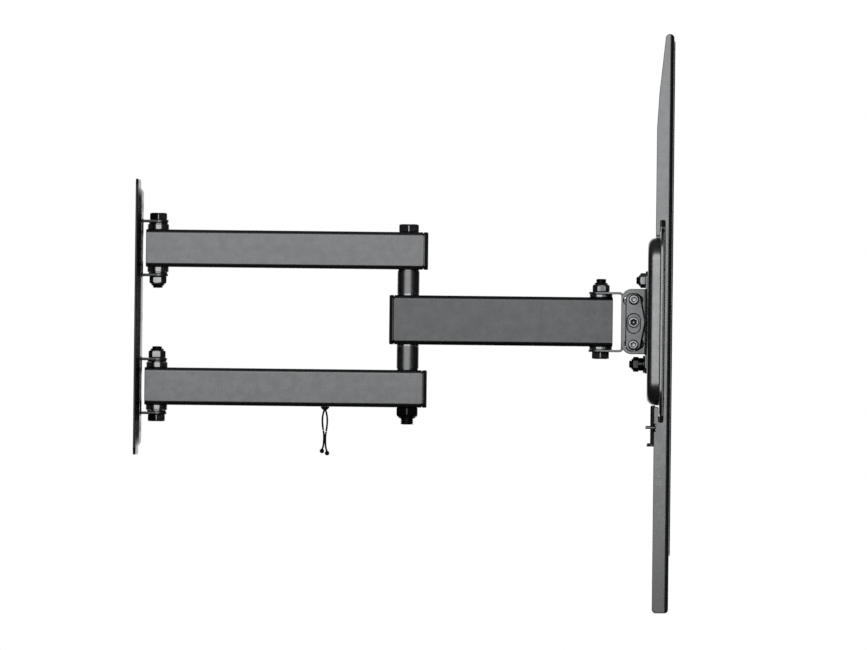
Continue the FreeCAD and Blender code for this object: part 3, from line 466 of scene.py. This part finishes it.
# Every cut or pressed edge of the real sheet is a little round, which draws the dark lines round
# its plates, so these nodes are shown by copies with rounded edges, in mm. The clamp plates get
# broad edges alone
roundedEdges = {
    "near_clamp_plate": 0, "far_clamp_plate": 0, "tilt_bracket": 0.5, "swivel_yoke": 0.4,
    "cross_plate": 0.6, "left_rail": 0.6, "right_rail": 0.6, "wall_plate": 0.5,
    "upper_arm": 0.4, "lower_arm": 0.4, "forearm": 0.4,
    "upper_pivot_bolt": 0.5, "lower_pivot_bolt": 0.5, "elbow_bolt": 0.6, "swivel_bolt": 0.5,
    "upper_pivot_nut": 0.7, "lower_pivot_nut": 0.7, "elbow_nut": 0.7, "swivel_nut": 0.8,
    "upper_level_bolt": 0.3, "lower_level_bolt": 0.3, "upper_level_nut": 0.3, "lower_level_nut": 0.3,
    "pivot_washers": 0.3, "elbow_washers": 0.3, "level_washers": 0.3, "tilt_nut": 0.3,
    "upper_arm_bushings": 0.3, "lower_arm_bushings": 0.3, "forearm_swivel_bushings": 0.3,
}
# Vertices nearer than this in mm are one, and faces within this many degrees are one flat
cleaning = {"weld": 0.002, "flat": 0.4}


def roundEdges():
    for name, width in roundedEdges.items():
        piece = copyPiece(nodes[name])
        piece.parent = None
        piece.matrix_world = Matrix.Identity(4)
        wholeSelection(piece)
        bpy.ops.mesh.remove_doubles(threshold=cleaning["weld"] * mm)
        bpy.ops.mesh.dissolve_limited(angle_limit=math.radians(cleaning["flat"]))
        bpy.ops.object.mode_set(mode="OBJECT")
        if width:
            applyModifier(piece, "BEVEL", width=width * mm, segments=2, limit_method="ANGLE",
                          angle_limit=math.radians(38), use_clamp_overlap=False)
        else:
            roundBroadEdges(piece)
        if name in tubeEnds:
            cutSeam(piece, name)
        smoothEdges(piece)
        if name in turnedNuts:
            turnNut(piece, name)
        carry(piece, name + "_rounded", bodyOf[name], slotOf[name], ownFinishes.get(name))
        if name == "wall_plate":
            paintLightOnLugs(piece)
        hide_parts(name)


# The half width of the flat at the tip of a drilled cone, and the rounding of a shank's end, in mm
coneTip = 0.5
shankEnd = 0.4


# A socket screw along +Z: its head stands on Z 0 and its shank reaches down. The socket's floor is
# flat, or a cone left by the drill
def socketScrew(sizes):
    screw = startCylinder(48, sizes["radius"], sizes["height"], sizes["height"] / 2)
    faceSelection(screw, lambda centre, normal: normal.z > 0.9)
    bpy.ops.mesh.bevel(offset=sizes["dome"] * mm, segments=5, profile=0.55, affect="EDGES")
    bpy.ops.object.mode_set(mode="OBJECT")
    faceSelection(screw, lambda centre, normal: normal.z < -0.9)
    bpy.ops.mesh.inset(thickness=(sizes["radius"] - sizes["shank"]) * mm)
    extrude(0, 0, -sizes["length"])
    bpy.ops.mesh.bevel(offset=shankEnd * mm, segments=2, affect="EDGES")
    bpy.ops.object.mode_set(mode="OBJECT")
    key = startCylinder(6, sizes["across"] / math.sqrt(3), sizes["depth"] * 2, sizes["height"])
    applyModifier(screw, "BOOLEAN", operation="DIFFERENCE", object=key, solver="EXACT")
    bpy.data.objects.remove(key)
    bottom = (sizes["height"] - sizes["depth"]) * mm
    if sizes["cone"]:
        faceSelection(screw, lambda centre, normal: abs(centre.z - bottom) < 0.01 * mm and centre.xy.length < 0.5 * mm)
        bpy.ops.mesh.inset(thickness=(sizes["across"] / 2 - coneTip) * mm)
        bpy.ops.transform.translate(value=(0, 0, -sizes["cone"] * mm))
        bpy.ops.object.mode_set(mode="OBJECT")
    applyModifier(screw, "BEVEL", width=sizes["chamfer"] * mm, segments=2, limit_method="ANGLE",
                  angle_limit=math.radians(62), use_clamp_overlap=False)
    return screw


# Button-head screws through the clamp plates, in mm from the tilt pin
tiltScrew = {"radius": 4.1, "height": 2.2, "dome": 1.5, "shank": 2.0, "length": 8.8, "across": 3.3, "depth": 1.4,
             "chamfer": 0.45, "cone": 0, "rise": 17.2, "seat": 20.1}
tiltPin = {"radius": 4.2, "height": 2.6, "dome": 1.0, "shank": 2.5, "length": 42.6, "across": 4.7, "depth": 0.6,
           "chamfer": 0.2, "cone": 1.6, "seat": 18.4}


def buildTiltScrews():
    pinX = middleOf("tilt_bolt")[0]
    model = socketScrew(tiltScrew)
    count = 0
    for side in (-1, 1):
        for rise in (-tiltScrew["rise"], tiltScrew["rise"]):
            screw = copyPiece(model)
            putInPlace(screw, (0, side, 0), (pinX, side * tiltScrew["seat"], rise))
            smoothEdges(screw)
            count += 1
            carry(screw, "tiltScrew" + str(count), "yoke", "black_zinc")
            if count == 1:
                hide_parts("tilt_screws")
    bpy.data.objects.remove(model)
    pin = socketScrew(tiltPin)
    putInPlace(pin, (0, -1, 0), (pinX, -tiltPin["seat"], 0))
    smoothEdges(pin)
    carry(pin, "tiltPin", "yoke", "black_zinc")
    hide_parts("tilt_bolt")


# The core's share of the thread's width, each flank's and the crest's share of the pitch, points in
# a turn, and in mm where the first cut lies and how near two points are one
ridgeShape = {"core": 0.86, "flank": 0.4, "crest": 0.2, "steps": 24, "start": 0.03, "merge": 0.001, "weld": 0.003}


# Ridges of thread for the turns that show past a nut, wound round +Z from Z 0
def threadRidges(across, pitch, length):
    core = across / 2 * ridgeShape["core"]
    flank, crest = ridgeShape["flank"] * pitch, ridgeShape["crest"] * pitch
    bpy.ops.object.select_all(action="DESELECT")
    bpy.ops.mesh.primitive_plane_add(size=0.1 * mm, location=(core * mm, 0, -pitch * mm))
    ridge = bpy.context.object
    bpy.ops.object.transform_apply(location=True, rotation=True, scale=True)
    bpy.context.tool_settings.mesh_select_mode = (True, False, False)
    wholeSelection(ridge)
    bpy.ops.mesh.merge(type="CENTER")
    for outward, upward in ((across / 2 - core, flank), (0, crest), (core - across / 2, flank)):
        extrude(outward, 0, upward)
    bpy.ops.object.mode_set(mode="OBJECT")
    applyModifier(ridge, "SCREW", axis="Z", screw_offset=pitch * mm, iterations=math.ceil(length / pitch) + 2,
                  steps=ridgeShape["steps"], render_steps=ridgeShape["steps"], use_merge_vertices=True,
                  merge_threshold=ridgeShape["merge"] * mm)
    wholeSelection(ridge)
    bpy.ops.mesh.remove_doubles(threshold=ridgeShape["weld"] * mm)
    bpy.ops.object.mode_set(mode="OBJECT")
    for height, keepAbove in ((ridgeShape["start"], True), (length + ridgeShape["start"], False)):
        wholeSelection(ridge)
        bpy.ops.mesh.bisect(plane_co=(0, 0, height * mm), plane_no=(0, 0, 1), use_fill=True,
                            clear_inner=keepAbove, clear_outer=not keepAbove)
        bpy.ops.object.mode_set(mode="OBJECT")
    wholeSelection(ridge)
    bpy.ops.mesh.delete_loose()
    bpy.ops.mesh.select_all(action="SELECT")
    bpy.ops.mesh.fill_holes(sides=0)
    bpy.ops.mesh.select_all(action="SELECT")
    bpy.ops.mesh.normals_make_consistent(inside=False)
    bpy.ops.object.mode_set(mode="OBJECT")
    return ridge


# Bolt, nut, the way the tip points, width across the thread and pitch, in mm
shownThreads = [
    ("elbow_bolt", "elbow_nut", (0, 0, -1), 10.0, 1.5), ("upper_pivot_bolt", "upper_pivot_nut", (0, 0, -1), 8.0, 1.25),
    ("lower_pivot_bolt", "lower_pivot_nut", (0, 0, 1), 8.0, 1.25), ("swivel_bolt", "swivel_nut", (0, 0, 1), 8.0, 1.25),
    ("upper_level_bolt", "upper_level_nut", (-1, 0, 0), 6.0, 1.0),
    ("lower_level_bolt", "lower_level_nut", (-1, 0, 0), 6.0, 1.0), ("tilt_bolt", "tilt_nut", (0, 1, 0), 5.0, 0.8),
]
# The bare end of each bolt past its last ridge, in mm
bareTip = 0.25
nylonRing = {"wide": 0.9, "proud": 0.12, "deep": 0.5, "lip": 0.1, "round": 0.12}


def addRing(nut, way, place, across):
    deep = nylonRing["deep"] + nylonRing["proud"]
    ring = startCylinder(40, across / 2 + nylonRing["wide"], deep)
    faceSelection(ring, lambda centre, normal: normal.z > 0.9)
    bpy.ops.mesh.inset(thickness=(nylonRing["wide"] - nylonRing["lip"]) * mm)
    extrude(0, 0, -nylonRing["proud"])
    bpy.ops.object.mode_set(mode="OBJECT")
    applyModifier(ring, "BEVEL", width=nylonRing["round"] * mm, segments=2, limit_method="ANGLE")
    putInPlace(ring, way, [value + part * (nylonRing["proud"] - deep / 2) for value, part in zip(place, way)])
    smoothEdges(ring)
    carry(ring, nut + "_ring", bodyOf[nut], "moulded_nylon")


def addThreadsAndRings():
    for bolt, nut, way, across, pitch in shownThreads:
        axis = [abs(part) for part in way].index(1)
        end = 1 if way[axis] > 0 else 0
        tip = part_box(bolt)[end][axis] / mm
        place = middleOf(nut)
        place[axis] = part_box(nut)[end][axis] / mm
        ridge = threadRidges(across, pitch, abs(tip - place[axis]) - bareTip)
        putInPlace(ridge, way, place)
        smoothEdges(ridge, 50)
        carry(ridge, bolt + "_thread", bodyOf[bolt], "black_zinc", shadedZinc)
        addRing(nut, way, place, across)


# Lock screws: a fully threaded stem and a thin knurled head that fingers can turn, in mm
lockScrew = {"across": 4.0, "pitch": 0.9, "head": 4.4, "headHeight": 1.6, "knurls": 18, "knurlDepth": 0.25,
             "knurlGap": 0.12, "knurlsFrom": 3.6, "neck": 0.7, "neckHeight": 0.6, "tip": 0.6, "tipHeight": 0.5,
             "ring": 0.7, "dish": 0.3, "bareNeck": 0.7, "bareStem": 1.8}


def buildLockHead(stem):
    headHeight, body = lockScrew["headHeight"], lockScrew["head"] - lockScrew["knurlDepth"]
    head = startCylinder(lockScrew["knurls"] * 2, body, headHeight, headHeight / 2)
    core = lockScrew["across"] / 2 * ridgeShape["core"]
    faceSelection(head, lambda centre, normal: normal.z > 0.9)
    bpy.ops.mesh.inset(thickness=(body - core - lockScrew["neck"]) * mm)
    bpy.ops.mesh.inset(thickness=lockScrew["neck"] * mm, depth=lockScrew["neckHeight"] * mm)
    extrude(0, 0, stem - headHeight - lockScrew["neckHeight"] - lockScrew["tipHeight"])
    bpy.ops.mesh.inset(thickness=lockScrew["tip"] * mm, depth=lockScrew["tipHeight"] * mm)
    bpy.ops.object.mode_set(mode="OBJECT")
    turn = math.pi / lockScrew["knurls"]
    faceSelection(head, lambda centre, normal: abs(normal.z) < 0.1 and centre.xy.length > lockScrew["knurlsFrom"] * mm
                  and round((math.atan2(centre.y, centre.x) / turn) - 0.5) % 2 == 0)
    bpy.ops.mesh.inset(thickness=lockScrew["knurlGap"] * mm, use_individual=True)
    extrude(0, 0, 0)
    bpy.ops.transform.shrink_fatten(value=lockScrew["knurlDepth"] * mm)
    bpy.ops.object.mode_set(mode="OBJECT")
    faceSelection(head, lambda centre, normal: normal.z < -0.9)
    bpy.ops.mesh.inset(thickness=lockScrew["ring"] * mm)
    bpy.ops.mesh.inset(thickness=lockScrew["dish"] * mm, depth=-lockScrew["dish"] * mm)
    bpy.ops.object.mode_set(mode="OBJECT")
    return head


def buildLockScrews():
    for side in ("left", "right"):
        name = side + "_lock_screw"
        low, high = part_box(name)
        stem = (high[2] - low[2]) / mm
        head = buildLockHead(stem)
        ridge = threadRidges(lockScrew["across"], lockScrew["pitch"],
                             stem - lockScrew["headHeight"] - lockScrew["bareStem"])
        for vertex in ridge.data.vertices:
            vertex.co.z += (lockScrew["headHeight"] + lockScrew["bareNeck"]) * mm
        pickOnly(head)
        ridge.select_set(True)
        bpy.ops.object.join()
        putInPlace(head, (0, 0, 1), middleOf(name)[:2] + [low[2] / mm])
        smoothEdges(head, 35)
        carry(head, side + "LockScrew", bodyOf[name], "black_zinc", shadedZinc)
        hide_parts(name)


# A thin steel slide strip lines the front of each rail's hook slot on the inner wall, in mm
slideStrip = {"thick": 0.6, "gap": 0.12, "wide": 1.6, "past": 1.1, "round": 0.076}


def addSlideStrips():
    low, high = [[value / mm for value in corner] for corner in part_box("cross_plate")]
    for side, way in (("left", -1), ("right", 1)):
        railLow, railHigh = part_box(side + "_rail")
        inner = (railHigh[1] if way < 0 else railLow[1]) / mm
        strip = startBox(slideStrip["thick"], slideStrip["wide"], high[2] - low[2] + 2 * slideStrip["past"])
        applyModifier(strip, "BEVEL", width=slideStrip["round"] * mm, segments=2, limit_method="ANGLE")
        putInPlace(strip, (0, 0, 1), (high[0] + slideStrip["gap"] + slideStrip["thick"] / 2,
                                      inner + way * slideStrip["wide"] / 2, (low[2] + high[2]) / 2))
        smoothEdges(strip)
        carry(strip, side + "SlideStrip", side + "_rail", "powder_coated_steel")


# Near-black nylon blocks in the ends of the outer hook slots stand where the slot ends show only shade: painted shade,
# in mm
slotShadeBlock = {"wide": 2.6, "deep": 1.5, "high": 4.8, "clear": 0.1, "behind": 0.6, "sunk": 0.05, "rim": 0.45,
            "dish": 0.3, "round": 0.2}


def addSlotShadeBlocks():
    plateLow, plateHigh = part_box("cross_plate")
    for side, way in (("left", -1), ("right", 1)):
        railLow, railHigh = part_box(side + "_rail")
        outer = (railLow[1] if way < 0 else railHigh[1]) / mm
        for upDown, level in ((-1, "Low"), (1, "High")):
            end = (plateLow if upDown < 0 else plateHigh)[2] / mm
            stop = startBox(slotShadeBlock["wide"], slotShadeBlock["deep"], slotShadeBlock["high"])
            faceSelection(stop, lambda centre, normal: normal.y * way > 0.9)
            bpy.ops.mesh.inset(thickness=slotShadeBlock["rim"] * mm)
            extrude(0, -way * slotShadeBlock["dish"], 0)
            bpy.ops.object.mode_set(mode="OBJECT")
            applyModifier(stop, "BEVEL", width=slotShadeBlock["round"] * mm, segments=3, limit_method="ANGLE")
            place = (plateHigh[0] / mm - slotShadeBlock["behind"], outer - way * (slotShadeBlock["deep"] / 2 + slotShadeBlock["sunk"]),
                     end + upDown * (slotShadeBlock["clear"] + slotShadeBlock["high"] / 2))
            putInPlace(stop, (0, 0, 1), place)
            smoothEdges(stop)
            carry(stop, side + "SlotShadeBlock" + level, side + "_rail", "moulded_nylon")


# Gussets between the bracket's ears, behind the ends of its arc slots nearer the screen, in mm from
# the tilt pin. They stop this far short of the bracket's front
gusset = {"thick": 1.6, "low": 11.0, "high": 23.4, "back": 3.0, "corner": 5.0, "short": 1.0, "round": 0.3}


def addGussets():
    pinX = middleOf("tilt_bolt")[0]
    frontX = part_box("tilt_bracket")[1][0] / mm - gusset["short"]
    wide = frontX - pinX - gusset["back"]
    tall = gusset["high"] - gusset["low"]
    for way, name in ((-1, "lowerGusset"), (1, "upperGusset")):
        piece = startBox(wide, gusset["thick"], tall)
        edgeSelection(piece, lambda edge, ends: all(end.x < 0 and end.z * way < 0 for end in ends))
        bpy.ops.mesh.bevel(offset=gusset["corner"] * mm, segments=6, affect="EDGES")
        bpy.ops.object.mode_set(mode="OBJECT")
        applyModifier(piece, "BEVEL", width=gusset["round"] * mm, segments=2, limit_method="ANGLE")
        putInPlace(piece, (0, 0, 1), (frontX - wide / 2, 0, way * (gusset["low"] + tall / 2)))
        smoothEdges(piece)
        # The gussets wear the wall plate's darker coat copy: painted shade behind the slot ends
        carry(piece, name, "tilt_head", "powder_coated_steel", ownFinishes["wall_plate"])


placeCamera()
buildStudio()
print("studio and camera are ready")
dressNodes()
print("CAD nodes have their finishes")
roundEdges()
print("sheet and bolt edges are rounded")
buildTiltScrews()
print("tilt screws and pin are built")
addThreadsAndRings()
print("threads and nylon rings are built")
buildLockScrews()
addSlideStrips()
addSlotShadeBlocks()
addGussets()
print("lock screws, slide strips, slot stops and gussets are built")

bpy.context.scene.view_settings.view_transform = "Standard"
